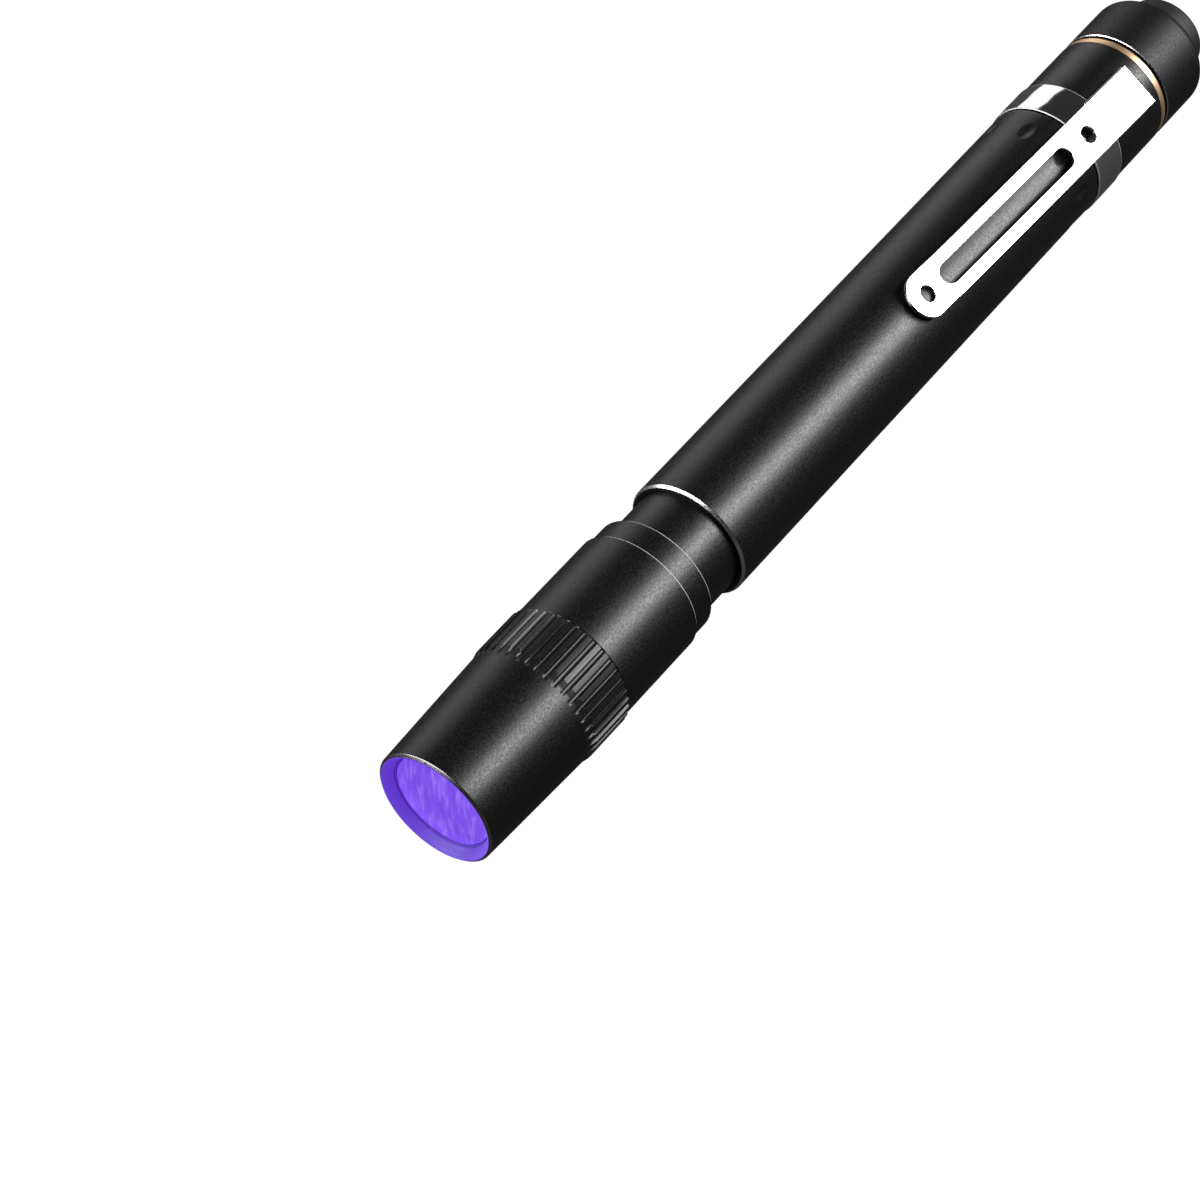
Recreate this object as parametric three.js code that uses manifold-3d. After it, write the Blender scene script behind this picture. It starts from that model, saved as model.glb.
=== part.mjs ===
// Zoomable ultraviolet pen torch for checking banknotes: turned aluminium shells around two slim
// cells, a sliding focus head at the front, a push switch in the screwed tail cap and a pocket clip
// of bent sheet steel. Millimetres, +Z up. The pen lies along X with its lens facing -X.
import * as THREE from "three";
import { mergeGeometries, mergeVertices } from "three/addons/utils/BufferGeometryUtils.js";
import Module from "manifold-3d";

const wasm = await Module();
wasm.setup();

// ---- Driving sizes, millimetres ----
// Fits
const cellPlay = 0.25;          // radial room around a cell
const slideFit = 0.1;           // radial clearance of parts that turn or slide on each other
const seatFit = 0.05;           // gap left where one part seats on another
const facets = 32;              // flats round a turned part
const innerFacets = 20;         // flats round a small inner part

// Cells: two in line, button end forward
const cellRadius = 5.25;
const cellLength = 44.4;
const cellNubRadius = 1.9;
const cellNubHeight = 0.8;
const cellRimRound = 0.5;

// Walls and steps, measured outward from the bore that holds the cells
const tubeWall = 1.5;
const neckWall = 0.7;
const collarRise = 0.55;        // retaining collar above the neck
const sleeveWall = 0.45;
const maleWall = 0.45;          // threaded front part of the sleeve
const knurlRise = 0.25;         // grip ribs above the sleeve
const knurlStep = 0.2;          // grip ribs above the back of the tapered nose
const noseTaper = 0.55;         // fall in radius from the back of the nose to the rim
const rimWidth = 0.5;

// Head, front to back
const noseLength = 15.1;
const knurlLength = 6.3;
const ribCount = 40;
const ribGrooveDepth = 0.3;
const ribGrooveFloor = 0.34;    // width at the bottom
const ribGrooveMouth = 0.62;    // width at the top
const ribRamp = 0.8;            // rise of the ribs out of the nose
const rimChamfer = 0.12;
const recessTaper = 1.0;        // fall in radius down the mouth
const recessDepth = 1.6;
const lipStep = 0.35;
const lipSetback = 1.9;
const lipThickness = 1.6;
const sleeveWeb = 0.6;
const spigotLength = 2.0;
const endRingLength = 3.0;
const endRingStep = 0.3;        // end ring below the sleeve
const endRingRound = 0.35;
const focusTravel = 5.2;
const stopGap = 0.2;            // axial room left at each end stop

// Lens stack
const gasketThickness = 0.7;
const lensFlange = 1.0;
const lensDomeHeight = 2.35;
const lensTail = 1.3;
const retainerThickness = 1.6;
const lampClearance = 1.8;      // neck to lens retainer with the head pushed right back

// Neck and light engine
const collarLength = 3.4;
const sealGrooveWidth = 1.4;
const sealGrooveDepth = 0.5;
const neckInTube = 6.3;         // neck length held inside the tube
const neckSealSetback = 1.8;
const neckSealWidth = 1.0;
const neckSealDepth = 0.35;
const boardSetback = 0.3;
const boardThickness = 0.9;
const emitterSide = 3.45;
const emitterThickness = 0.7;
const emitterDomeRadius = 1.3;
const pillLength = 7.5;
const pillWeb = 1.8;
const pillWall = 1.1;
const driverThickness = 1.0;
const driverLedge = 0.65;
const driverChipHeight = 0.8;
const driverSpringLength = 1.25;

// Tube and clip
const tubeChamfer = 0.4;
const counterboreSpare = 0.5;   // counterbore beyond the part it takes
const tubePastCells = 10.1;     // tube left behind the cells
const clipSetback = 8.55;       // groove's back edge to the tube's end
const clipGrooveWidth = 5.1;
const clipGrooveDepth = 0.4;
const clipRoll = 34;            // degrees that the clip leans from the top towards -Y
const clipSheet = 0.5;
const clipWidth = 5.2;
const clipLength = 43.9;
const bandSideFit = 0.2;
const bandSplit = 26;           // degrees left open opposite the arm
const clipBendOverhang = 6.2;   // bend's crown behind the groove
const clipArmGap = 0.45;        // inside height of the bend
const clipTipLift = 0.75;
const clipDipFromTip = 4.0;
const clipDipRun = 7.0;         // length over which the arm comes down to the dip
const clipDipGap = 0.1;
const clipTipHole = { radius: 0.95, fromTip: 2.8 };
const clipRearHole = { radius: 1.0, fromCrown: 10.9 };
const clipSlot = { width: 2.4, fromCrown: 14.4, length: 24.1 };
const bendSplit = 0.12;         // gap between the two halves of the bend, at its crown
const dimpleCount = 9;
const dimpleLength = 3.2;
const dimpleWidth = 1.8;
const dimpleDepth = 0.35;
const dimpleSetback = 3.3;      // dimple centre to the groove's front edge

// Tail, front to back
const brassThickness = 0.79;
const brassStep = 0.1;
const sealThickness = 0.53;
const sealStep = 0.35;
const capLength = 8.03;
const capChamfer = 0.15;
const capRound = 1.4;
const capNeckRise = 0.7;        // cap neck above the cell bore
const capNeckWall = 0.8;
const capNeckLength = 7.27;
const capLip = 1.25;
const capLipWidth = 0.55;
const buttonProud = 3.55;
const buttonRound = 0.9;
const buttonFlange = 1.1;
const buttonTravel = 1.4;
const retainerSetback = 0.6;
const retainerRing = 1.4;
const retainerRingWall = 0.9;
const contactThickness = 0.5;
const switchWebThickness = 1.8;
const switchBoreRadius = 2.6;
const plungerRadius = 1.6;
const plungerCollarRadius = 2.4;
const plungerCollarLength = 1.2;
const plungerTip = 0.8;
const switchSpringLength = 2.5;
const springWire = 0.4;
const tailSpringWire = 0.5;
const notchWidth = 1.2;
const notchDepth = 0.6;

// ---- Radii that follow ----
const boreRadius = cellRadius + cellPlay;
const tubeRadius = boreRadius + tubeWall;
const neckRadius = boreRadius + neckWall;
const collarRadius = neckRadius + collarRise;
const sleeveBore = collarRadius + slideFit;
const sleeveRadius = sleeveBore + sleeveWall;
const knurlRadius = sleeveRadius + knurlRise;
const noseBackRadius = knurlRadius - knurlStep;
const rimRadius = noseBackRadius - noseTaper;
const mouthRadius = rimRadius - rimWidth;
const recessRadius = mouthRadius - recessTaper;
const lipRadius = recessRadius - lipStep;
const headBore = neckRadius + slideFit + seatFit;
const maleRadius = headBore + maleWall;
const lensRadius = headBore - slideFit;
const lensDomeRadius = lipRadius - slideFit;
const grooveRadius = tubeRadius - clipGrooveDepth;
const bandInner = grooveRadius + seatFit;
const bandOuter = bandInner + clipSheet;
const tongueHeight = tubeRadius + seatFit + clipSheet / 2;
const armHeight = tongueHeight + clipSheet + clipArmGap;
const bendHeight = (tongueHeight + armHeight) / 2;
const dipHeight = tubeRadius + clipDipGap + clipSheet / 2;
const capNeckRadius = boreRadius + capNeckRise;
const capBore = capNeckRadius - capNeckWall;
const capHole = capBore - capLipWidth;

// ---- Stations along the pen, measured from the front rim ----
const lipBack = lipSetback + lipThickness;
const flangeFront = lipBack + gasketThickness + 2 * seatFit;
const retainerFront = flangeFront + lensFlange + seatFit;
const retainerBack = retainerFront + retainerThickness;
const knurlFront = noseLength;
const knurlBack = knurlFront + knurlLength;
const sleeveShoulder = knurlBack + sleeveWeb;
const collarFront = sleeveShoulder + 2 * stopGap + focusTravel;
const collarBack = collarFront + collarLength;
const spigotFront = collarBack + stopGap;
const sleeveBack = spigotFront + spigotLength;
const endRingBack = sleeveBack + endRingLength;
const tubeFront = endRingBack + focusTravel + 1.5 * stopGap;
const neckFront = retainerBack + focusTravel + lampClearance;
const neckBack = tubeFront + neckInTube;
const boardFront = neckFront + boardSetback;
const pillFront = boardFront + boardThickness + seatFit;
const pillBack = pillFront + pillLength;
const cellsFront = pillBack + driverSpringLength;
const cellsBack = cellsFront + 2 * cellLength + 2 * seatFit;
const tubeBack = cellsBack + tubePastCells;
const grooveBack = tubeBack - clipSetback;
const grooveFront = grooveBack - clipGrooveWidth;
const crown = grooveBack + clipBendOverhang;
const clipTip = crown - clipLength;
const bendCentre = crown - clipSheet - clipArmGap / 2;
const capFront = tubeBack + brassThickness + sealThickness;
const capBack = capFront + capLength;
const capNeckFront = capFront - capNeckLength;
const flangeBack = capBack - capLip - seatFit;
const retainerRingFront = capNeckFront + retainerSetback;
const contactFront = retainerRingFront + retainerRing + seatFit;
const switchFront = contactFront + contactThickness + seatFit;
const switchFloor = switchFront + switchWebThickness;
const flangeFace = flangeBack - buttonFlange;
const switchBack = flangeFace - buttonTravel - 1.5 * stopGap;
const plungerFront = switchFloor + switchSpringLength;
const penLength = capBack + buttonProud;

// ---- Materials ----
function finish(colour, roughness, metalness) {
  return new THREE.MeshStandardMaterial({ color: colour, roughness, metalness });
}
const anodised = finish(0x121214, 0.42, 0.75);
const anodisedInner = finish(0x18181b, 0.6, 0.5);
const polishedSteel = finish(0xd8d9dc, 0.14, 1);
const brass = finish(0xc98f52, 0.28, 1);
const rubber = finish(0x0b0b0c, 0.85, 0);
const buttonRubber = finish(0x101012, 0.8, 0);
const acrylic = finish(0x7a55ee, 0.08, 0);
const emitterLens = finish(0xb7a6ff, 0.2, 0);
const circuitBoard = finish(0x1d5a34, 0.55, 0);
const aluminiumCore = finish(0xe9e9ea, 0.5, 0.2);
const springSteel = finish(0xb9bcc0, 0.3, 1);
const cellWrap = finish(0x24415f, 0.35, 0.2);
const nylon = finish(0xd9d6cc, 0.6, 0);

// ---- Shape helpers ----

// A solid of revolution about X. The half section is a list of [x, radius] corners, front to back
// along the outside; it either returns along the bore or starts and ends on the axis.
function turned(section, flats = facets) {
  const solidCore = section[0][1] === 0;
  const loop = solidCore ? section : [...section, section[0]];
  const outline = loop.map(([x, radius]) => new THREE.Vector2(radius, x));
  return new THREE.LatheGeometry(outline, flats).rotateZ(-Math.PI / 2);
}

// Corners of a round edge in a half section, from one angle to another in degrees.
function round(x, radius, size, fromAngle, toAngle, steps = 3) {
  return Array.from({ length: steps + 1 }, (_, i) => {
    const angle = THREE.MathUtils.degToRad(fromAngle + ((toAngle - fromAngle) * i) / steps);
    return [x + size * Math.cos(angle), radius + size * Math.sin(angle)];
  });
}

// A ring of round section that sits between two x stations and two radii.
function sealRing(front, back, inner, outer) {
  const corners = 6;
  return turned(Array.from({ length: corners }, (_, i) => {
    const angle = Math.PI - ((i + 0.5) * 2 * Math.PI) / corners;
    return [
      (front + back) / 2 + ((back - front) / 2) * Math.cos(angle),
      (inner + outer) / 2 + ((outer - inner) / 2) * Math.sin(angle),
    ];
  }));
}

function plainRing(front, back, inner, outer) {
  return turned([[front, inner], [front, outer], [back, outer], [back, inner]]);
}

// A box given by its centre and its sizes along X, Y and Z.
function block(centre, size) {
  return new THREE.BoxGeometry(...size).translate(...centre);
}

// A geometry as a solid that can be joined and cut.
function solid(geometry) {
  const bare = geometry.clone();
  bare.deleteAttribute("normal");
  bare.deleteAttribute("uv");
  const merged = mergeVertices(bare, 1e-4);
  const corners = merged.index.array;
  const triVerts = [];
  for (let i = 0; i < corners.length; i += 3) {
    const [a, b, c] = corners.slice(i, i + 3);
    if (a !== b && b !== c && c !== a) triVerts.push(a, b, c);
  }
  return new wasm.Manifold(new wasm.Mesh({
    numProp: 3,
    vertProperties: new Float32Array(merged.attributes.position.array),
    triVerts: new Uint32Array(triVerts),
  }));
}

function geometryOf(manifold) {
  const { vertProperties, triVerts } = manifold.getMesh();
  const geometry = new THREE.BufferGeometry();
  geometry.setAttribute("position", new THREE.BufferAttribute(vertProperties, 3));
  geometry.setIndex(new THREE.BufferAttribute(triVerts, 1));
  geometry.computeVertexNormals();
  return geometry;
}

// Copies of a cutter turned about the pen's axis, starting at one angle in degrees.
function around(cutter, count, startAngle = 0) {
  return mergeGeometries(Array.from({ length: count }, (_, i) => {
    const angle = THREE.MathUtils.degToRad(startAngle + (i * 360) / count);
    return cutter.clone().rotateX(angle);
  }));
}

// A bent strip of sheet metal: its centre line in [x, height], thickened and spread along Y.
function strip(centreLine, thickness, width) {
  const points = centreLine.map(([x, height]) => new THREE.Vector2(x, height));
  const upper = [];
  const lower = [];
  points.forEach((point, i) => {
    const arriving = point.clone().sub(points[Math.max(i - 1, 0)]).normalize();
    const leaving = points[Math.min(i + 1, points.length - 1)].clone().sub(point).normalize();
    const along = arriving.clone().add(leaving).normalize();
    const mitre = thickness / 2 / Math.max(along.dot(i ? arriving : leaving), 0.5);
    const side = new THREE.Vector2(-along.y, along.x).multiplyScalar(mitre);
    upper.push(point.clone().add(side));
    lower.unshift(point.clone().sub(side));
  });
  const sheet = new THREE.Shape([...upper, ...lower]);
  const depth = { depth: width, bevelEnabled: false };
  return new THREE.ExtrudeGeometry(sheet, depth).rotateX(Math.PI / 2).translate(0, width / 2, 0);
}

// The path of a coil spring about X, its radius changing evenly from front to back.
class Coil extends THREE.Curve {
  constructor(front, back, frontRadius, backRadius, turns) {
    super();
    Object.assign(this, { front, back, frontRadius, backRadius, turns });
  }

  getPoint(t, target = new THREE.Vector3()) {
    const angle = 2 * Math.PI * this.turns * t;
    const radius = THREE.MathUtils.lerp(this.frontRadius, this.backRadius, t);
    const x = THREE.MathUtils.lerp(this.front, this.back, t);
    return target.set(x, radius * Math.cos(angle), radius * Math.sin(angle));
  }
}

// A coil spring whose wire stays between the front and back stations.
function spring(front, back, frontRadius, backRadius, turns, wire) {
  const sides = 6;
  const section = new THREE.Shape(Array.from({ length: sides }, (_, i) => {
    const angle = (i * 2 * Math.PI) / sides;
    return new THREE.Vector2((wire / 2) * Math.cos(angle), (wire / 2) * Math.sin(angle));
  }));
  const inset = wire / 2 + seatFit;
  const path = new Coil(front + inset, back - inset, frontRadius, backRadius, turns);
  const options = { steps: Math.round(11 * turns), bevelEnabled: false, extrudePath: path };
  return new THREE.ExtrudeGeometry(section, options);
}

function sheetSlot(x, halfRun, radius) {
  const path = new THREE.Path();
  path.absarc(x + halfRun, 0, radius, -Math.PI / 2, Math.PI / 2, false);
  path.absarc(x - halfRun, 0, radius, Math.PI / 2, (3 * Math.PI) / 2, false);
  path.closePath();
  return path;
}

function mesh(name, geometry, material) {
  const part = new THREE.Mesh(geometry, material);
  part.name = name;
  return part;
}

function group(...children) {
  const holder = new THREE.Group();
  holder.add(...children);
  return holder;
}

// ---- Focus head ----

// Tapered nose, ribbed grip and lens seat, turned from one bar.
function frontBezel() {
  const bar = turned([
    [0, mouthRadius + rimChamfer],
    [0, rimRadius - rimChamfer],
    [rimChamfer, rimRadius],
    [knurlFront, noseBackRadius],
    [knurlFront + ribRamp, knurlRadius],
    [knurlBack, knurlRadius],
    [knurlBack, maleRadius + seatFit],
    [knurlFront + stopGap, maleRadius + seatFit],
    [knurlFront + stopGap, headBore],
    [lipBack, headBore],
    [lipBack, lipRadius],
    [lipSetback, lipRadius],
    [recessDepth, recessRadius],
    [rimChamfer, mouthRadius],
  ], ribCount);
  const floor = knurlRadius - ribGrooveDepth;
  const top = knurlRadius + ribGrooveDepth;
  const groove = new THREE.Shape([
    new THREE.Vector2(-ribGrooveFloor / 2, floor),
    new THREE.Vector2(ribGrooveFloor / 2, floor),
    new THREE.Vector2(ribGrooveMouth / 2, knurlRadius),
    new THREE.Vector2(ribGrooveMouth / 2, top),
    new THREE.Vector2(-ribGrooveMouth / 2, top),
    new THREE.Vector2(-ribGrooveMouth / 2, knurlRadius),
  ]);
  const run = { depth: knurlLength + stopGap, bevelEnabled: false };
  const cutter = new THREE.ExtrudeGeometry(groove, run)
    .rotateY(Math.PI / 2)
    .rotateX(Math.PI / 2)
    .translate(knurlFront - stopGap / 2, 0, 0);
  return geometryOf(solid(bar).subtract(solid(around(cutter, ribCount, 180 / ribCount))));
}

function lensGasket() {
  const front = lipBack + seatFit;
  return sealRing(front, front + gasketThickness, lensDomeRadius + lipStep, lensRadius);
}

// Domed collimating lens with a flange to clamp it by.
function lens() {
  const apex = flangeFront - lensDomeHeight;
  const curve = (lensDomeRadius ** 2 + lensDomeHeight ** 2) / (2 * lensDomeHeight);
  const edge = THREE.MathUtils.radToDeg(Math.asin(lensDomeRadius / curve));
  const flangeBackFace = flangeFront + lensFlange;
  return turned([
    [apex, 0],
    ...round(apex + curve, 0, curve, 180, 180 - edge, 6).slice(1),
    [flangeFront, lensRadius],
    [flangeBackFace, lensRadius],
    [flangeBackFace, lensDomeRadius],
    [flangeBackFace + lensTail, lensDomeRadius],
    [flangeBackFace + lensTail, 0],
  ], innerFacets);
}

// Screwed ring behind the lens, with two notches for a spanner.
function lensRetainer() {
  const ring = plainRing(retainerFront, retainerBack, lensDomeRadius + slideFit, headBore - slideFit);
  const notch = block([retainerBack, 0, 0], [2 * notchDepth, 3 * headBore, notchWidth]);
  return geometryOf(solid(ring).subtract(solid(notch)));
}

// Sleeve over the neck; its thinner front half screws into the grip.
function focusSleeve() {
  return turned([
    [knurlFront + 2 * stopGap, headBore],
    [knurlFront + 2 * stopGap, maleRadius],
    [knurlBack + seatFit, maleRadius],
    [knurlBack + seatFit, sleeveRadius],
    [sleeveBack, sleeveRadius],
    [sleeveBack, sleeveBore],
    [sleeveShoulder, sleeveBore],
    [sleeveShoulder, headBore],
  ]);
}

// Ring that closes the sleeve behind the collar and keeps the head on.
function sleeveEndRing() {
  const bore = neckRadius + slideFit;
  const outer = sleeveRadius - endRingStep;
  return turned([
    [spigotFront, bore],
    [spigotFront, sleeveBore - seatFit],
    [sleeveBack + seatFit, sleeveBore - seatFit],
    [sleeveBack + seatFit, outer],
    ...round(endRingBack - endRingRound, outer - endRingRound, endRingRound, 90, 0),
    [endRingBack, bore],
  ]);
}

// ---- Neck and light engine ----

function neckTube() {
  const groove = (collarFront + collarBack) / 2;
  const halfGroove = sealGrooveWidth / 2;
  const seal = tubeFront + neckSealSetback;
  return turned([
    [neckFront, boreRadius],
    [neckFront, neckRadius],
    [collarFront, neckRadius],
    [collarFront, collarRadius],
    [groove - halfGroove, collarRadius],
    [groove - halfGroove, collarRadius - sealGrooveDepth],
    [groove + halfGroove, collarRadius - sealGrooveDepth],
    [groove + halfGroove, collarRadius],
    [collarBack, collarRadius],
    [collarBack, neckRadius],
    [seal, neckRadius],
    [seal, neckRadius - neckSealDepth],
    [seal + neckSealWidth, neckRadius - neckSealDepth],
    [seal + neckSealWidth, neckRadius],
    [neckBack, neckRadius],
    [neckBack, boreRadius],
  ]);
}

function focusSeal() {
  const middle = (collarFront + collarBack) / 2;
  const half = sealGrooveWidth / 2 - slideFit;
  const inner = collarRadius - sealGrooveDepth + seatFit;
  return sealRing(middle - half, middle + half, inner, collarRadius + seatFit / 2);
}

function neckSeal() {
  const front = tubeFront + neckSealSetback + seatFit;
  const back = front + neckSealWidth - 2 * seatFit;
  return sealRing(front, back, neckRadius - neckSealDepth + seatFit, neckRadius);
}

// Square lamp package under a clear dome.
function uvLed() {
  const back = boardFront - seatFit;
  const front = back - emitterThickness;
  const base = block([(front + back) / 2, 0, 0], [emitterThickness, emitterSide, emitterSide]);
  const dome = turned([
    ...round(front, 0, emitterDomeRadius, 180, 90, 4).map(([x, radius], i) => [x, i ? radius : 0]),
    [front + emitterThickness / 2, emitterDomeRadius],
    [front + emitterThickness / 2, 0],
  ], innerFacets);
  return geometryOf(solid(base).add(solid(dome)));
}

function ledBoard() {
  const radius = boreRadius - slideFit;
  const back = boardFront + boardThickness;
  return turned([[boardFront, 0], [boardFront, radius], [back, radius], [back, 0]], innerFacets);
}

// Brass cup that carries the lamp board in front and the driver board in its back.
function ledPill() {
  const outer = boreRadius - seatFit;
  const ledge = pillBack - driverThickness - 2 * seatFit;
  return turned([
    [pillFront, 0],
    [pillFront, outer],
    [pillBack, outer],
    [pillBack, outer - pillWall + driverLedge],
    [ledge, outer - pillWall + driverLedge],
    [ledge, outer - pillWall],
    [pillFront + pillWeb, outer - pillWall],
    [pillFront + pillWeb, 0],
  ], innerFacets);
}

// Round driver board with two components on its front face.
function driverBoard() {
  const radius = boreRadius - pillWall + driverLedge - slideFit;
  const back = pillBack - seatFit;
  const front = back - driverThickness;
  const board = turned([[front, 0], [front, radius], [back, radius], [back, 0]], innerFacets);
  const chip = block([front, 1.3, 0], [2 * driverChipHeight, 2, 2.4]);
  const inductor = block([front, -1.5, 0.2], [2.5 * driverChipHeight, 2, 2]);
  const fitted = solid(mergeGeometries([chip, inductor])).subtract(
    solid(block([back, 0, 0], [2 * (back - front) - seatFit, 3 * radius, 3 * radius])),
  );
  return geometryOf(solid(board).add(fitted));
}

function driverSpring() {
  return spring(pillBack, cellsFront, cellNubRadius, cellNubRadius - springWire, 1.5, springWire);
}

function cell(front) {
  const shoulder = front + cellNubHeight;
  const back = front + cellLength;
  return turned([
    [front, 0],
    [front, cellNubRadius],
    [shoulder, cellNubRadius],
    [shoulder, cellRadius - cellRimRound],
    [shoulder + cellRimRound, cellRadius],
    [back - cellRimRound, cellRadius],
    [back, cellRadius - cellRimRound],
    [back, 0],
  ], innerFacets);
}

// ---- Tube, clip and brass ring ----

// Main tube: counterbored at both ends, grooved for the clip's band and dimpled beside it.
function bodyTube() {
  const front = neckRadius + seatFit;
  const back = capNeckRadius + slideFit;
  const shell = turned([
    [tubeFront, front],
    [tubeFront, tubeRadius - tubeChamfer],
    [tubeFront + tubeChamfer, tubeRadius],
    [grooveFront, tubeRadius],
    [grooveFront, grooveRadius],
    [grooveBack, grooveRadius],
    [grooveBack, tubeRadius],
    [tubeBack, tubeRadius],
    [tubeBack, back],
    [capNeckFront - counterboreSpare, back],
    [capNeckFront - counterboreSpare, boreRadius],
    [neckBack + counterboreSpare, boreRadius],
    [neckBack + counterboreSpare, front],
  ]);
  const lift = 0.7 * dimpleDepth;
  const spread = 1 / Math.sqrt(1 - (lift / (lift + dimpleDepth)) ** 2);
  const dimple = new THREE.SphereGeometry(1, 10, 7)
    .scale((spread * dimpleLength) / 2, (spread * dimpleWidth) / 2, lift + dimpleDepth)
    .translate(grooveFront - dimpleSetback, 0, tubeRadius + lift);
  return geometryOf(solid(shell).subtract(solid(around(dimple, dimpleCount, clipRoll))));
}

// Points of the clip's bend, centred between the tongue and the arm, in degrees from straight back.
function bend(fromAngle, toAngle) {
  return round(bendCentre, bendHeight, armHeight - bendHeight, fromAngle, toAngle, 5);
}

// A block that trims one half of the bend to its side of the split: 1 trims from above, -1 from below.
function bendTrim(side) {
  const reach = 2 * (clipSheet + clipArmGap);
  const height = bendHeight + side * (reach - bendSplit / 2);
  return block([crown, 0, height], [2 * reach, 2 * clipWidth, 2 * reach]);
}

// Split band in the tube's groove, with the tongue that carries the arm.
function clipBand() {
  const front = grooveFront + bandSideFit;
  const back = grooveBack - bandSideFit;
  const ring = plainRing(front, back, bandInner, bandOuter);
  const reach = 3 * bandOuter;
  const halfOpen = reach * Math.tan(THREE.MathUtils.degToRad(bandSplit / 2));
  const wedge = new THREE.Shape([
    new THREE.Vector2(0, 0),
    new THREE.Vector2(reach, -halfOpen),
    new THREE.Vector2(reach, halfOpen),
  ]);
  const opening = new THREE.ExtrudeGeometry(wedge, { depth: 2 * clipGrooveWidth, bevelEnabled: false })
    .rotateY(Math.PI / 2)
    .translate(front - clipGrooveWidth / 2, 0, 0);
  const bandHeight = (bandInner + bandOuter) / 2 + seatFit;
  const tongue = strip([
    [back - 2 * clipSheet, bandHeight],
    [back - clipSheet, bandHeight],
    [back + bandSideFit - seatFit, tongueHeight],
    ...bend(-90, 20),
  ], clipSheet, clipWidth);
  const trimmed = solid(tongue).subtract(solid(bendTrim(1)));
  return geometryOf(solid(ring).subtract(solid(opening)).add(trimmed));
}

// Spring arm: over the bend, along the tube, down to grip it and up at the round tip.
function clipArm() {
  const dip = clipTip + clipDipFromTip;
  const curve = new THREE.SplineCurve([
    new THREE.Vector2(dip + clipDipRun, armHeight),
    new THREE.Vector2(dip + clipDipRun / 2, (armHeight + dipHeight) / 2),
    new THREE.Vector2(dip, dipHeight),
    new THREE.Vector2(clipTip - clipSheet, dipHeight + clipTipLift),
  ]);
  const sheet = strip([
    ...bend(-20, 90),
    ...curve.getPoints(12).map((point) => [point.x, point.y]),
  ], clipSheet, clipWidth);
  const half = clipWidth / 2;
  const outline = new THREE.Shape();
  outline.moveTo(crown + clipSheet, -half);
  outline.lineTo(crown + clipSheet, half);
  outline.lineTo(clipTip + half, half);
  outline.absarc(clipTip + half, 0, half, Math.PI / 2, (3 * Math.PI) / 2, false);
  outline.closePath();
  const slotMiddle = crown - clipSlot.fromCrown - clipSlot.length / 2;
  outline.holes.push(
    sheetSlot(slotMiddle, (clipSlot.length - clipSlot.width) / 2, clipSlot.width / 2),
    new THREE.Path().absarc(crown - clipRearHole.fromCrown, 0, clipRearHole.radius, 0, 2 * Math.PI),
    new THREE.Path().absarc(clipTip + clipTipHole.fromTip, 0, clipTipHole.radius, 0, 2 * Math.PI),
  );
  const plan = new THREE.ExtrudeGeometry(outline, {
    depth: 2 * armHeight,
    bevelEnabled: false,
    curveSegments: 8,
  });
  return geometryOf(solid(sheet).subtract(solid(bendTrim(-1))).intersect(solid(plan)));
}

function brassRing() {
  const front = tubeBack + seatFit / 2;
  const back = tubeBack + brassThickness - seatFit / 2;
  return plainRing(front, back, capNeckRadius + slideFit, tubeRadius - brassStep);
}

// ---- Tail cap and switch ----

function tailSeal() {
  const front = tubeBack + brassThickness + seatFit / 2;
  return plainRing(front, capFront - seatFit, capNeckRadius + seatFit, tubeRadius - sealStep);
}

function tailCap() {
  return turned([
    [capNeckFront, capBore],
    [capNeckFront, capNeckRadius],
    [capFront, capNeckRadius],
    [capFront, tubeRadius - capChamfer],
    [capFront + capChamfer, tubeRadius],
    ...round(capBack - capRound, tubeRadius - capRound, capRound, 90, 0, 5),
    [capBack, capHole],
    [capBack - capLip, capHole],
    [capBack - capLip, capBore],
  ]);
}

function tailButton() {
  const radius = capHole - slideFit;
  return turned([
    [flangeFace, 0],
    [flangeFace, capBore - slideFit],
    [flangeBack, capBore - slideFit],
    [flangeBack, radius],
    ...round(penLength - buttonRound, radius - buttonRound, buttonRound, 90, 0),
    [penLength, 0],
  ]);
}

// Screwed ring that holds the switch in the cap, with two notches for a spanner.
function switchRetainer() {
  const outer = capBore - seatFit;
  const ring = plainRing(retainerRingFront, retainerRingFront + retainerRing,
    outer - retainerRingWall, outer);
  const notch = block([retainerRingFront, 0, 0], [2 * notchDepth, 3 * outer, notchWidth]);
  return geometryOf(solid(ring).subtract(solid(notch)));
}

function switchContact() {
  const radius = capBore - slideFit;
  const back = contactFront + contactThickness;
  return turned([[contactFront, 0], [contactFront, radius], [back, radius], [back, 0]], innerFacets);
}

// Moulded switch body with a blind bore for the plunger and its return spring.
function switchHousing() {
  const radius = capBore - slideFit;
  return turned([
    [switchFront, 0],
    [switchFront, radius],
    [switchBack, radius],
    [switchBack, switchBoreRadius],
    [switchFloor, switchBoreRadius],
    [switchFloor, 0],
  ], innerFacets);
}

function switchPlunger() {
  const collar = plungerFront + plungerTip;
  const back = flangeFace - seatFit;
  return turned([
    [plungerFront, 0],
    [plungerFront, plungerRadius],
    [collar, plungerRadius],
    [collar, plungerCollarRadius],
    [collar + plungerCollarLength, plungerCollarRadius],
    [collar + plungerCollarLength, plungerRadius],
    [back, plungerRadius],
    [back, 0],
  ], innerFacets);
}

function switchSpring() {
  return spring(switchFloor, plungerFront, plungerRadius, plungerRadius, 3, springWire);
}

function tailSpring() {
  const wide = capBore - retainerRingWall - tailSpringWire - slideFit;
  const narrow = cellNubRadius + springWire;
  return spring(cellsBack, contactFront, narrow, wide, 4, tailSpringWire);
}

// ---- Assembly ----

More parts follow.
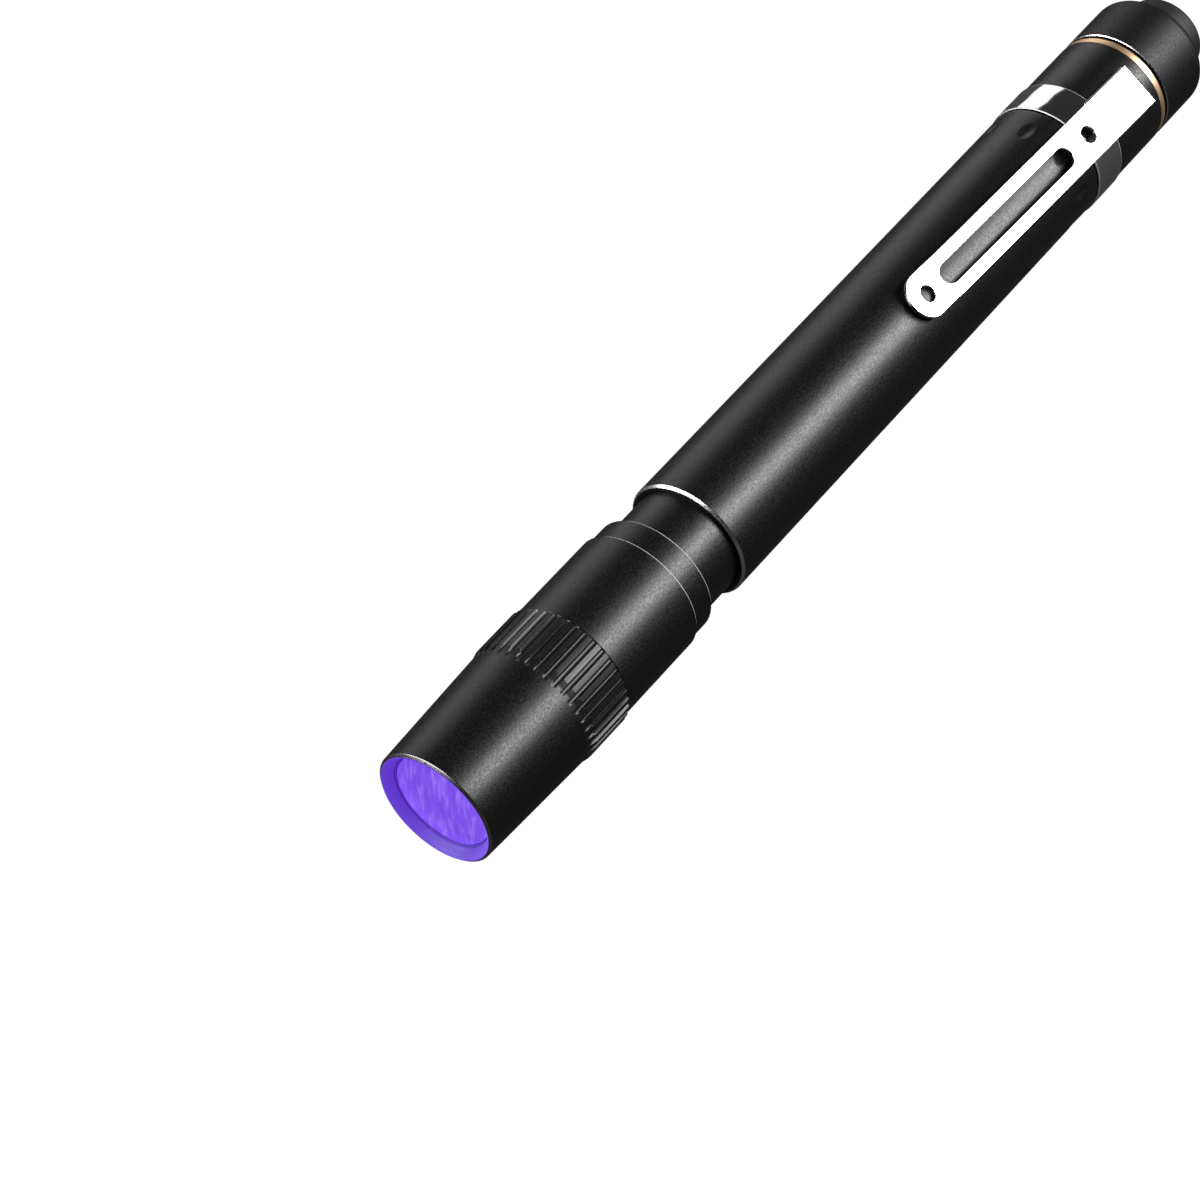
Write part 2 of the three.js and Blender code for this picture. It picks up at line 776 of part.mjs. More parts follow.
const focusHead = group(
  mesh("front_bezel", frontBezel(), anodised),
  mesh("lens_gasket", lensGasket(), rubber),
  mesh("lens", lens(), acrylic),
  mesh("lens_retainer", lensRetainer(), anodisedInner),
  mesh("focus_sleeve", focusSleeve(), anodised),
  mesh("sleeve_end_ring", sleeveEndRing(), anodised),
);

const lightEngine = group(
  mesh("uv_led", uvLed(), emitterLens),
  mesh("led_board", ledBoard(), aluminiumCore),
  mesh("led_pill", ledPill(), brass),
  mesh("driver_board", driverBoard(), circuitBoard),
  mesh("driver_spring", driverSpring(), springSteel),
);

const barrel = group(
  mesh("neck_tube", neckTube(), anodised),
  mesh("focus_oring", focusSeal(), rubber),
  mesh("neck_oring", neckSeal(), rubber),
  mesh("body_tube", bodyTube(), anodised),
  mesh("battery_front", cell(cellsFront + seatFit), cellWrap),
  mesh("battery_rear", cell(cellsFront + cellLength + 2 * seatFit), cellWrap),
  mesh("brass_ring", brassRing(), brass),
);

const clip = group(
  mesh("clip_band", clipBand(), polishedSteel),
  mesh("clip_arm", clipArm(), polishedSteel),
);
clip.rotation.x = THREE.MathUtils.degToRad(clipRoll);

const tail = group(
  mesh("tail_oring", tailSeal(), rubber),
  mesh("tail_cap", tailCap(), anodised),
  mesh("tail_button", tailButton(), buttonRubber),
  mesh("switch_housing", switchHousing(), nylon),
  mesh("switch_plunger", switchPlunger(), nylon),
  mesh("switch_spring", switchSpring(), springSteel),
  mesh("switch_contact", switchContact(), brass),
  mesh("switch_retainer", switchRetainer(), brass),
  mesh("tail_spring", tailSpring(), springSteel),
);

const penTorch = group(focusHead, lightEngine, barrel, clip, tail);
penTorch.position.set(-penLength / 2, 0, knurlRadius);

export default group(penTorch);
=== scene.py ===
import math

import bmesh
import bpy
from mathutils import Matrix, Vector


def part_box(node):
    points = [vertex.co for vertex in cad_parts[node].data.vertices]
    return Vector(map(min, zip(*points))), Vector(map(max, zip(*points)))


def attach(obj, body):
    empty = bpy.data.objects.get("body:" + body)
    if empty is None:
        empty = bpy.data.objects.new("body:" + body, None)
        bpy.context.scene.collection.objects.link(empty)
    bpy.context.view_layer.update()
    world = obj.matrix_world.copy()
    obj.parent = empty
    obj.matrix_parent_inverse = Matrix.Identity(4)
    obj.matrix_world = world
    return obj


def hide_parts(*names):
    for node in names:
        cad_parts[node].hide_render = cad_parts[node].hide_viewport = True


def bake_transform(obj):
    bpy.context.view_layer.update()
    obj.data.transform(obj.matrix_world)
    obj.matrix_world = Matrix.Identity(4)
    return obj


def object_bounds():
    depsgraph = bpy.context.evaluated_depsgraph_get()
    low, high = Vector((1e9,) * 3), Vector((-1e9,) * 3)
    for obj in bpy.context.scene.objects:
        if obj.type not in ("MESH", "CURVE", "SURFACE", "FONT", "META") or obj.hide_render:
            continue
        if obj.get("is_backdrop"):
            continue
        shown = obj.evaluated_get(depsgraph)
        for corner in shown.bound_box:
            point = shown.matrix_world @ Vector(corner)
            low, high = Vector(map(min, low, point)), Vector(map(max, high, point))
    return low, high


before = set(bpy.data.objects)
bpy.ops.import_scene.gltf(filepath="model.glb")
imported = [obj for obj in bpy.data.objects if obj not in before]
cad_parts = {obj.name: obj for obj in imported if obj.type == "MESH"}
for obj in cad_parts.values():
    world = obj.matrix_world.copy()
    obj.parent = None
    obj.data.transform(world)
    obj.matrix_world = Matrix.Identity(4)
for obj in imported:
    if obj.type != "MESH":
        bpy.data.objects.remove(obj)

MM = 0.001
cad_low, cad_high = (list(corner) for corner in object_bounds())


# ---------------------------------------------------------------- places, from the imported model

def span(node):
    """Front and back stations of a CAD node, in millimetres behind the front rim."""
    low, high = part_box(node)
    return (low[0] - cad_low[0]) / MM, (high[0] - cad_low[0]) / MM


def outer(node):
    """Outer radius of a turned CAD node, in millimetres."""
    low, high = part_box(node)
    return (high[1] - low[1]) / 2 / MM


AXIS_HEIGHT = (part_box("tail_cap")[0][2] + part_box("tail_cap")[1][2]) / 2
CLIP_ROLL = math.radians(34)          # the clip leans from the top towards -Y


def to_world(u, across, up):
    """A point given in millimetres from the rim and from the pen's axis, in metres."""
    return Vector((cad_low[0] + u * MM, across * MM, AXIS_HEIGHT + up * MM))


def on_clip(u, across, height):
    """A point of the clip: along the pen, across the clip and out from the axis."""
    s, c = math.sin(CLIP_ROLL), math.cos(CLIP_ROLL)
    return to_world(u, -height * s + across * c, height * c + across * s)


# ---------------------------------------------------------------- mesh helpers

def rounded(section, steps=4):
    """A closed section, its corners (station, radius, setback) rounded where a setback is given."""
    points = []
    for i, corner in enumerate(section):
        here = Vector(corner[:2])
        if len(corner) < 3:
            points.append(here)
            continue
        before = Vector(section[i - 1][:2])
        after = Vector(section[(i + 1) % len(section)][:2])
        start = here + (before - here).normalized() * corner[2]
        end = here + (after - here).normalized() * corner[2]
        for k in range(steps + 1):
            t = k / steps
            points.append(start.lerp(here, t).lerp(here.lerp(end, t), t))
    return points


def rows(front, back, radius, count):
    """Evenly spaced section points along a straight stretch, ends left out."""
    return [(front + (back - front) * k / count, radius) for k in range(1, count)]


def turned(section, steps=160, shape=None, angle=2 * math.pi, start=0.0):
    """A solid turned about the pen's axis. shape(u, r, phi) may move each point."""
    bm = bmesh.new()
    points = rounded(section)
    verts = [bm.verts.new((p[0], 0, p[1])) for p in points]
    edges = []
    for i, v in enumerate(verts):
        after = verts[(i + 1) % len(verts)]
        if v.co.z > 1e-6 or after.co.z > 1e-6:
            edges.append(bm.edges.new((v, after)))
    whole = abs(angle - 2 * math.pi) < 1e-6
    bmesh.ops.rotate(bm, verts=verts, cent=(0, 0, 0), matrix=Matrix.Rotation(start, 3, "X"))
    bmesh.ops.spin(bm, geom=verts + edges, cent=(0, 0, 0), axis=(1, 0, 0), angle=angle,
                   steps=steps, use_merge=whole)
    if not whole:
        bmesh.ops.holes_fill(bm, edges=[e for e in bm.edges if e.is_boundary], sides=0)
    bmesh.ops.remove_doubles(bm, verts=bm.verts, dist=1e-5)
    for v in bm.verts:
        u, r = v.co.x, math.hypot(v.co.y, v.co.z)
        phi = math.atan2(-v.co.y, v.co.z)
        if shape and r > 1e-5:
            u, r, phi = shape(u, r, phi)
        v.co = to_world(u, -r * math.sin(phi), r * math.cos(phi))
    return bm


def place(bm, name, body, nodes, materials, choose=None, crease=32):
    """Turns mesh data into a piece of the pen. choose(u, r) picks a material for a face."""
    bmesh.ops.recalc_face_normals(bm, faces=bm.faces)
    if bm.calc_volume(signed=True) < 0:
        bmesh.ops.reverse_faces(bm, faces=bm.faces)
    bm.normal_update()
    for face in bm.faces:
        face.smooth = True
        if choose:
            middle = face.calc_center_median()
            u = (middle.x - cad_low[0]) / MM
            r = math.hypot(middle.y, middle.z - AXIS_HEIGHT) / MM
            face.material_index = choose(u, r)
    for edge in bm.edges:
        edge.smooth = len(edge.link_faces) == 2 and edge.calc_face_angle(0) < math.radians(crease)
    mesh = bpy.data.meshes.new(name)
    bm.to_mesh(mesh)
    bm.free()
    piece = bpy.data.objects.new(name, mesh)
    bpy.context.collection.objects.link(piece)
    for material in materials:
        mesh.materials.append(material)
    shading = piece.modifiers.new("even shading", "WEIGHTED_NORMAL")
    shading.keep_sharp = True
    shading.weight = 80
    if nodes:
        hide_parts(*nodes)
    if body:
        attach(piece, body)
    return piece


# ---------------------------------------------------------------- shader helpers

def add_node(tree, kind, values=None, **settings):
    """A shader node with its settings and the constants of its inputs."""
    node = tree.nodes.new(kind)
    for key, value in settings.items():
        setattr(node, key, value)
    for key, value in (values or {}).items():
        node.inputs[key].default_value = value
    return node


def join(tree, *pairs):
    for out, into in pairs:
        tree.links.new(out, into)


def new_group(name, inputs, outputs):
    """A shader node group with its sockets. Returns the tree, its input and its output node."""
    tree = bpy.data.node_groups.new(name, "ShaderNodeTree")
    for label, kind, value in inputs:
        socket = tree.interface.new_socket(label, in_out="INPUT", socket_type=kind)
        socket.default_value = value
    for label, kind in outputs:
        tree.interface.new_socket(label, in_out="OUTPUT", socket_type=kind)
    return tree, tree.nodes.new("NodeGroupInput"), tree.nodes.new("NodeGroupOutput")


def grain_group():
    """Fine blasted grain: its height, scattered glints and broad handling smudges."""
    tree, given, result = new_group(
        "fine_grain",
        [("Scale", "NodeSocketFloat", 6000.0)],
        [("Height", "NodeSocketFloat"), ("Glint", "NodeSocketFloat"), ("Smudge", "NodeSocketFloat")])
    place_in = add_node(tree, "ShaderNodeTexCoord")
    fine = add_node(tree, "ShaderNodeTexNoise", {"Detail": 2.0, "Roughness": 0.6})
    spots = add_node(tree, "ShaderNodeTexNoise", {"Detail": 1.0, "Scale": 3800.0})
    glint = add_node(tree, "ShaderNodeMapRange", {"From Min": 0.62, "From Max": 0.8})
    broad = add_node(tree, "ShaderNodeTexNoise", {"Scale": 90.0, "Detail": 4.0, "Distortion": 0.6})
    join(tree,
         (place_in.outputs["Object"], fine.inputs["Vector"]),
         (place_in.outputs["Object"], spots.inputs["Vector"]),
         (place_in.outputs["Object"], broad.inputs["Vector"]),
         (given.outputs["Scale"], fine.inputs["Scale"]),
         (spots.outputs["Fac"], glint.inputs["Value"]),
         (fine.outputs["Fac"], result.inputs["Height"]),
         (glint.outputs["Result"], result.inputs["Glint"]),
         (broad.outputs["Fac"], result.inputs["Smudge"]))
    return tree


def turning_group():
    """Faint rings left by a lathe tool, with hairline scratches along the pen."""
    tree, given, result = new_group(
        "turning_marks",
        [("Pitch", "NodeSocketFloat", 9000.0)],
        [("Height", "NodeSocketFloat"), ("Scratch", "NodeSocketFloat")])
    place_in = add_node(tree, "ShaderNodeTexCoord")
    stretch = add_node(tree, "ShaderNodeMapping", {"Scale": (1.0, 0.02, 0.02)})
    rings = add_node(tree, "ShaderNodeTexNoise", {"Detail": 3.0, "Roughness": 0.7})
    along = add_node(tree, "ShaderNodeMapping", {"Scale": (0.03, 1.0, 1.0)})
    hairs = add_node(tree, "ShaderNodeTexNoise", {"Scale": 5200.0, "Detail": 2.0})
    join(tree,
         (place_in.outputs["Object"], stretch.inputs["Vector"]),
         (stretch.outputs["Vector"], rings.inputs["Vector"]),
         (given.outputs["Pitch"], rings.inputs["Scale"]),
         (place_in.outputs["Object"], along.inputs["Vector"]),
         (along.outputs["Vector"], hairs.inputs["Vector"]),
         (rings.outputs["Fac"], result.inputs["Height"]),
         (hairs.outputs["Fac"], result.inputs["Scratch"]))
    return tree


GRAIN = grain_group()
TURNING = turning_group()


def base_material(name, values):
    """A material with one Principled shader. Returns the material, its tree and the shader."""
    material = bpy.data.materials.new(name)
    material.use_nodes = True
    tree = material.node_tree
    shader = tree.nodes["Principled BSDF"]
    for key, value in values.items():
        shader.inputs[key].default_value = value
    return material, tree, shader


def use_group(tree, group, **values):
    node = tree.nodes.new("ShaderNodeGroup")
    node.node_tree = group
    for key, value in values.items():
        node.inputs[key].default_value = value
    return node


def vary(tree, source, into, low, high, at_low=0.3, at_high=0.7):
    """Spreads a 0-1 pattern over a range and feeds it to a shader input."""
    spread = add_node(tree, "ShaderNodeMapRange",
                      {"From Min": at_low, "From Max": at_high, "To Min": low, "To Max": high})
    join(tree, (source, spread.inputs["Value"]), (spread.outputs["Result"], into))


def tint(tree, source, into, dark, light):
    """Mixes two colours by a 0-1 pattern and feeds a colour input."""
    mix = add_node(tree, "ShaderNodeMix", data_type="RGBA")
    mix.inputs["A"].default_value = (*dark, 1)
    mix.inputs["B"].default_value = (*light, 1)
    join(tree, (source, mix.inputs["Factor"]), (mix.outputs["Result"], into))


def bump(tree, source, shader, strength, distance):
    """Raises a surface by a pattern, distance in metres."""
    raise_by = add_node(tree, "ShaderNodeBump", {"Strength": strength, "Distance": distance})
    join(tree, (source, raise_by.inputs["Height"]), (raise_by.outputs["Normal"], shader.inputs["Normal"]))


# ---------------------------------------------------------------- materials

def satin_black(name, roughness=0.385, scale=4600.0, strength=0.75, ior=1.52):
    """Black anodising over blasted aluminium: satin, with fine sparkling grain."""
    material, tree, shader = base_material(name, {"IOR": ior})
    grain = use_group(tree, GRAIN, Scale=scale)
    tint(tree, grain.outputs["Glint"], shader.inputs["Base Color"],
         (0.0006, 0.0006, 0.0008), (0.0042, 0.0042, 0.0048))
    vary(tree, grain.outputs["Height"], shader.inputs["Roughness"],
         roughness - 0.09, roughness + 0.09)
    bump(tree, grain.outputs["Height"], shader, strength, 0.000016)
    return material


def ribbed_black():
    """The grip ribs: the same anodising, a little lighter, its gloss varied by hairline scratches along
    the pen.
    """
    material, tree, shader = base_material("ribbed_black", {"IOR": 1.5})
    grain = use_group(tree, GRAIN, Scale=7000.0)
    marks = use_group(tree, TURNING, Pitch=6000.0)
    tint(tree, grain.outputs["Glint"], shader.inputs["Base Color"],
         (0.004, 0.004, 0.0045), (0.020, 0.020, 0.022))
    vary(tree, marks.outputs["Scratch"], shader.inputs["Roughness"], 0.33, 0.44)
    bump(tree, grain.outputs["Height"], shader, 0.25, 0.000008)
    return material


def bare_aluminium():
    """Freshly cut aluminium on the chamfers, where the black layer was turned away."""
    material, tree, shader = base_material("bare_aluminium", {"Metallic": 1.0})
    marks = use_group(tree, TURNING, Pitch=16000.0)
    tint(tree, marks.outputs["Height"], shader.inputs["Base Color"],
         (0.62, 0.62, 0.64), (0.86, 0.86, 0.87))
    vary(tree, marks.outputs["Scratch"], shader.inputs["Roughness"], 0.20, 0.34)
    bump(tree, marks.outputs["Height"], shader, 0.2, 0.000006)
    return material


def polished_steel():
    """Polished stainless sheet with faint hairlines and finger smudges."""
    material, tree, shader = base_material("polished_steel", {"Metallic": 1.0})
    grain = use_group(tree, GRAIN, Scale=2500.0)
    marks = use_group(tree, TURNING, Pitch=5000.0)
    tint(tree, grain.outputs["Smudge"], shader.inputs["Base Color"],
         (0.78, 0.78, 0.79), (0.90, 0.90, 0.91))
    vary(tree, grain.outputs["Smudge"], shader.inputs["Roughness"], 0.06, 0.11)
    bump(tree, marks.outputs["Scratch"], shader, 0.12, 0.000004)
    return material


def brass():
    """Turned brass with fine lathe rings and a warmer, duller patina in places."""
    material, tree, shader = base_material("turned_brass", {"Metallic": 1.0})
    marks = use_group(tree, TURNING, Pitch=22000.0)
    grain = use_group(tree, GRAIN, Scale=2500.0)
    tint(tree, grain.outputs["Smudge"], shader.inputs["Base Color"],
         (0.94, 0.58, 0.33), (0.97, 0.70, 0.42))
    vary(tree, marks.outputs["Height"], shader.inputs["Roughness"], 0.34, 0.50)
    bump(tree, marks.outputs["Height"], shader, 0.25, 0.000008)
    return material


def rubber(name, colour=0.012, scale=9000.0, roughness=0.62):
    """Moulded black rubber with a matt skin and a dusting of lint."""
    material, tree, shader = base_material(name, {"IOR": 1.5})
    grain = use_group(tree, GRAIN, Scale=scale)
    tint(tree, grain.outputs["Glint"], shader.inputs["Base Color"],
         (colour, colour, colour * 1.05), (colour * 4, colour * 4, colour * 4.1))
    vary(tree, grain.outputs["Smudge"], shader.inputs["Roughness"],
         roughness - 0.08, roughness + 0.08)
    bump(tree, grain.outputs["Height"], shader, 0.5, 0.00002)
    return material


def lit_mouth():
    """Black anodised recess with the lamp's violet wash painted on as a glow: painted shade deepens the
    violet towards the lens, and a painted reflection lightens it towards -Y.
    """
    material, tree, shader = base_material(
        "lit_mouth", {"IOR": 1.5, "Roughness": 0.3, "Emission Strength": 1.0,
                      "Base Color": (0.01, 0.008, 0.02, 1)})
    place_in = add_node(tree, "ShaderNodeTexCoord")
    apart = add_node(tree, "ShaderNodeSeparateXYZ")
    marks = use_group(tree, TURNING, Pitch=9000.0)
    # painted shade: the glow turns a deeper violet towards the lens
    depth = add_node(tree, "ShaderNodeMapRange",
                     {"From Min": cad_low[0], "From Max": cad_low[0] + 1.9 * MM,
                      "To Min": 1.0, "To Max": 0.0})
    # painted reflection: the glow turns a lighter violet towards -Y
    side = add_node(tree, "ShaderNodeMapRange",
                    {"From Min": -3.2 * MM, "From Max": -6.4 * MM, "To Min": 0.0, "To Max": 1.0},
                    interpolation_type="SMOOTHSTEP")
    glow = add_node(tree, "ShaderNodeMix", data_type="RGBA")
    glow.inputs["A"].default_value = (0.078, 0.020, 0.50, 1)
    glow.inputs["B"].default_value = (0.125, 0.045, 0.62, 1)
    lit = add_node(tree, "ShaderNodeMix", data_type="RGBA")
    lit.inputs["B"].default_value = (0.205, 0.092, 0.78, 1)
    join(tree,
         (place_in.outputs["Object"], apart.inputs["Vector"]),
         (apart.outputs["X"], depth.inputs["Value"]),
         (apart.outputs["Y"], side.inputs["Value"]),
         (depth.outputs["Result"], glow.inputs["Factor"]),
         (glow.outputs["Result"], lit.inputs["A"]),
         (side.outputs["Result"], lit.inputs["Factor"]),
         (lit.outputs["Result"], shader.inputs["Emission Color"]))
    vary(tree, marks.outputs["Height"], shader.inputs["Roughness"], 0.50, 0.65)
    bump(tree, marks.outputs["Height"], shader, 0.4, 0.00001)
    return material


def lit_lens():
    """Clear acrylic with the lamp's violet light behind it painted on as a glow, in streaks for the dome's
    facets.
    """
    material, tree, shader = base_material(
        "lit_lens", {"IOR": 1.49, "Roughness": 0.06, "Emission Strength": 1.0,
                     "Base Color": (0.03, 0.015, 0.09, 1), "Coat Weight": 0.4})
    place_in = add_node(tree, "ShaderNodeTexCoord")
    stretch = add_node(tree, "ShaderNodeMapping",
                       {"Rotation": (0.5, 0, 0), "Scale": (1.0, 2.6, 0.55)})
    streaks = add_node(tree, "ShaderNodeTexNoise",
                       {"Scale": 620.0, "Detail": 5.0, "Distortion": 0.3})
    # painted glow: the streaks pick the lens's violet emission
    ramp = tree.nodes.new("ShaderNodeValToRGB")
    ramp.color_ramp.elements[0].position = 0.30
    ramp.color_ramp.elements[0].color = (0.160, 0.058, 0.73, 1)
    ramp.color_ramp.elements[1].position = 0.80
    ramp.color_ramp.elements[1].color = (0.36, 0.20, 0.95, 1)
    middle = ramp.color_ramp.elements.new(0.52)
    middle.color = (0.200, 0.080, 0.80, 1)
    join(tree,
         (place_in.outputs["Object"], stretch.inputs["Vector"]),
         (stretch.outputs["Vector"], streaks.inputs["Vector"]),
         (streaks.outputs["Fac"], ramp.inputs["Fac"]),
         (ramp.outputs["Color"], shader.inputs["Emission Color"]))
    bump(tree, streaks.outputs["Fac"], shader, 0.15, 0.00002)
    return material


def coloured(name, dark, light, roughness, metallic=0.0, scale=1500.0, lift=0.00001, glow=None):
    """A plain inner finish that still varies in tone, gloss and surface."""
    values = {"Metallic": metallic}
    # glow is emission: the LED's own light on the LED dome, painted shadow on the mouth's steps
    if glow:
        values.update({"Emission Color": (*glow, 1), "Emission Strength": 1.0})
    material, tree, shader = base_material(name, values)
    grain = use_group(tree, GRAIN, Scale=scale)
    tint(tree, grain.outputs["Smudge"], shader.inputs["Base Color"], dark, light)
    vary(tree, grain.outputs["Height"], shader.inputs["Roughness"],
         roughness - 0.06, roughness + 0.08)
    bump(tree, grain.outputs["Height"], shader, 0.3, lift)
    return material


def inner_finishes():
    """Materials for the CAD nodes that keep their own shape, by node name."""
    steel = coloured("spring_wire", (0.50, 0.51, 0.53), (0.70, 0.71, 0.72), 0.28, 1.0, 4000)
    wrap = coloured("cell_sleeve", (0.012, 0.045, 0.10), (0.020, 0.070, 0.15), 0.30, 0.0, 900)
    seal = rubber("seal_rubber_inner", 0.010, 9000.0, 0.5)
    nylon = coloured("white_nylon", (0.62, 0.61, 0.56), (0.74, 0.73, 0.68), 0.55, 0.0, 2500)
    pill = coloured("pill_brass", (0.70, 0.44, 0.18), (0.80, 0.55, 0.26), 0.30, 1.0, 3000)
    board = coloured("green_board", (0.010, 0.085, 0.030), (0.018, 0.13, 0.048), 0.42, 0.0, 2600)
    core = coloured("board_core", (0.66, 0.66, 0.67), (0.78, 0.78, 0.79), 0.45, 0.3, 2500)
    emitter = coloured("led_dome", (0.30, 0.24, 0.55), (0.42, 0.34, 0.70), 0.15, 0.0, 1500,
                       glow=(0.42, 0.24, 1.0))
    dark = satin_black("dark_anodised", 0.5, 6000.0, 0.3)
    return {"driver_spring": steel, "switch_spring": steel, "tail_spring": steel,
            "battery_front": wrap, "battery_rear": wrap,
            "lens_gasket": seal, "neck_oring": seal, "focus_oring": seal,
            "switch_housing": nylon, "switch_plunger": nylon,
            "led_pill": pill, "switch_contact": pill, "driver_board": board,
            "led_board": core, "uv_led": emitter, "lens_retainer": dark,
            "switch_retainer": dark}


# ---------------------------------------------------------------- focus head

def nose_and_grip(shell, ribs, mouth, rim_black, shade):
    """Tapered nose with the stepped mouth, and the ribbed grip with its grooves run out forward."""
    front, back = span("front_bezel")
    knurl = outer("front_bezel")
    sleeve_bore = outer("lens_gasket") + 0.1
    top, nose_back, rim, floor = knurl, knurl - 0.2, knurl - 0.75, knurl - 0.3
    shoulder = back - 6.3
    rib_count = 40

    def ribbed(u, r, phi):
        pitch = 2 * math.pi / rib_count
        turn = phi / pitch
        cell = math.floor(turn + 0.5)
        f = turn - cell
        marks = (0.0, 0.125, 0.15, 0.245, 0.27, 0.38, 0.5)
        k = abs(f) * 12
        i = min(int(k), 5)
        g = marks[i] + (marks[i + 1] - marks[i]) * (k - i)
        phi = (cell + math.copysign(g, f)) * pitch
        if r > nose_back - 0.12 and shoulder - 0.7 < u <= back + 1e-6:
            nose = rim + (nose_back - rim) * min(u / shoulder, 1)
            rise = min(max((u - shoulder) / 0.8, 0), 1)
            crest = nose + (top - nose) * rise
            sink = min(max((u - shoulder + 0.5) / 0.5, 0), 1)
            root = nose + (floor - nose) * sink * (2 - sink)
            drop = max(0.0, (u - back + 0.10)) if r > floor + 0.01 else 0.0
            r = min(max(root, root + (g - 0.143) * 2.54), crest - drop)
        return u, r, phi

    section = [
        (front, rim - 0.40), (front, rim - 0.30, 0.03), (front + 0.24, rim, 0.05),
        *((u, rim + (nose_back - rim) * u / shoulder) for u in (3.0, 7.0, 11.0, 14.3)),
        *((shoulder - 0.6 + 0.1 * k, nose_back - 0.01) for k in range(6)),
        *((shoulder + 0.1 * k, top) for k in range(10)),
        *rows(shoulder + 0.9, back - 0.1, top, 4),
        (back - 0.1, top), (back - 0.05, top), (back, top),
        (back, sleeve_bore + 0.50), (shoulder + 0.2, sleeve_bore + 0.50),
        (shoulder + 0.2, sleeve_bore), (front + 3.5, sleeve_bore), (front + 3.5, rim - 1.30),
        (front + 1.36, rim - 1.30, 0.05), (front + 1.28, rim - 1.21, 0.02),
        (front + 1.12, rim - 1.19, 0.03), (front + 1.05, rim - 1.10, 0.02),
        (front + 0.92, rim - 1.07, 0.03), (front + 0.60, rim - 0.80, 0.08),
        (front + 0.14, rim - 0.48, 0.06),
    ]
    bm = turned(section, steps=12 * rib_count, shape=ribbed)

    def choose(u, r):
        # the recess takes the painted violet glow, its two steps the painted shadow
        if u < 3.6 and r < rim - 0.29:
            in_a_step = 1.05 < u < 1.12 or 1.28 < u < 1.36
            return 4 if in_a_step else 2
        if u < 0.24 and r > rim - 0.30:
            return 3
        return 1 if u > shoulder - 0.45 and r > floor - 0.1 else 0

    return place(bm, "nose_and_grip", "focus_head", ["front_bezel"],
                 [shell, ribs, mouth, rim_black, shade], choose)


def sleeve(shell, bare):
    """Sleeve over the neck, with a bare turned line round its back edge."""
    front, back = span("focus_sleeve")
    shoulder = span("front_bezel")[1]
    radius = outer("focus_sleeve")
    male, bore, room = radius - 0.5, radius - 0.95, radius - 0.45
    section = [
        (front, bore), (front, male, 0.1), (shoulder + 0.05, male), (shoulder + 0.05, radius - 0.12),
        (shoulder + 0.17, radius, 0.03), *rows(shoulder + 0.17, back - 0.14, radius, 4),
        (back - 0.14, radius, 0.02), (back, radius - 0.10), (back, room), (shoulder + 0.6, room),
        (shoulder + 0.6, bore),
    ]

    def choose(u, r):
        return 1 if r > radius - 0.13 and u > back - 0.125 else 0

    return place(turned(section, 192), "focus_sleeve_shell", "focus_head", ["focus_sleeve"],
                 [shell, bare], choose)


def end_ring(shell, bare):
    """Closing ring behind the sleeve, rounded at its back edge."""
    front, back = span("sleeve_end_ring")
    radius = outer("sleeve_end_ring")
    lip = span("focus_sleeve")[1] + 0.05
    bore = radius - 0.7
    section = [
        (front, bore), (front, radius - 0.2), (lip, radius - 0.2), (lip, radius, 0.06),
        (back - 0.24, radius, 0.08), (back - 0.14, radius - 0.04, 0.02), (back, radius - 0.15),
        (back, bore, 0.12),
    ]

    def choose(u, r):
        return 1 if u > back - 0.14 and radius - 0.16 < r < radius - 0.03 else 0

    return place(turned(section, 192), "sleeve_closing_ring", "focus_head", ["sleeve_end_ring"],
                 [shell, bare], choose)


def lens_dome(material):
    """Domed lens with its clamping flange."""
    front, back = span("lens")
    radius = outer("lens")
    flange = front + 2.35
    dome, rise = outer("front_bezel") - 2.13, 0.40
    forward = 1.2                         # the clear part stands this far out in the mouth
    apex = front - forward
    curve = (dome ** 2 + rise ** 2) / (2 * rise)
    edge = math.asin(dome / curve)
    arc = [(apex + curve - curve * math.cos(edge * k / 18), curve * math.sin(edge * k / 18))
           for k in range(1, 18)]
    section = [(apex, 0), *arc, (apex + rise, dome, 0.06), (flange, dome), (flange, radius, 0.06),
               (flange + 1.0, radius, 0.06), (flange + 1.0, dome), (back, dome, 0.15), (back, 0)]
    return place(turned(section, 96), "focus_lens", "focus_head", ["lens"],
                 [material])


# ---------------------------------------------------------------- barrel

def neck(shell):
    """Neck with its seal grooves, showing between the focus head and the tube."""
    front, back = span("neck_tube")
    collar = outer("neck_tube")
    seal_front, seal_back = span("focus_oring")
    middle = (seal_front + seal_back) / 2
    radius, bore = collar - 0.55, collar - 1.25
    tube_front = span("body_tube")[0]
    groove = tube_front + 1.8
    section = [
        (front, bore), (front, radius, 0.12), (middle - 1.7, radius), (middle - 1.7, collar, 0.08),
        (middle - 0.7, collar, 0.05), (middle - 0.7, collar - 0.5), (middle + 0.7, collar - 0.5),
        (middle + 0.7, collar, 0.05), (middle + 1.7, collar, 0.08), (middle + 1.7, radius),
        (groove, radius), (groove, radius - 0.35), (groove + 1.0, radius - 0.35),
        (groove + 1.0, radius), (back, radius, 0.1), (back, bore),
    ]
    return place(turned(section, 160), "neck", "barrel", ["neck_tube"], [shell])


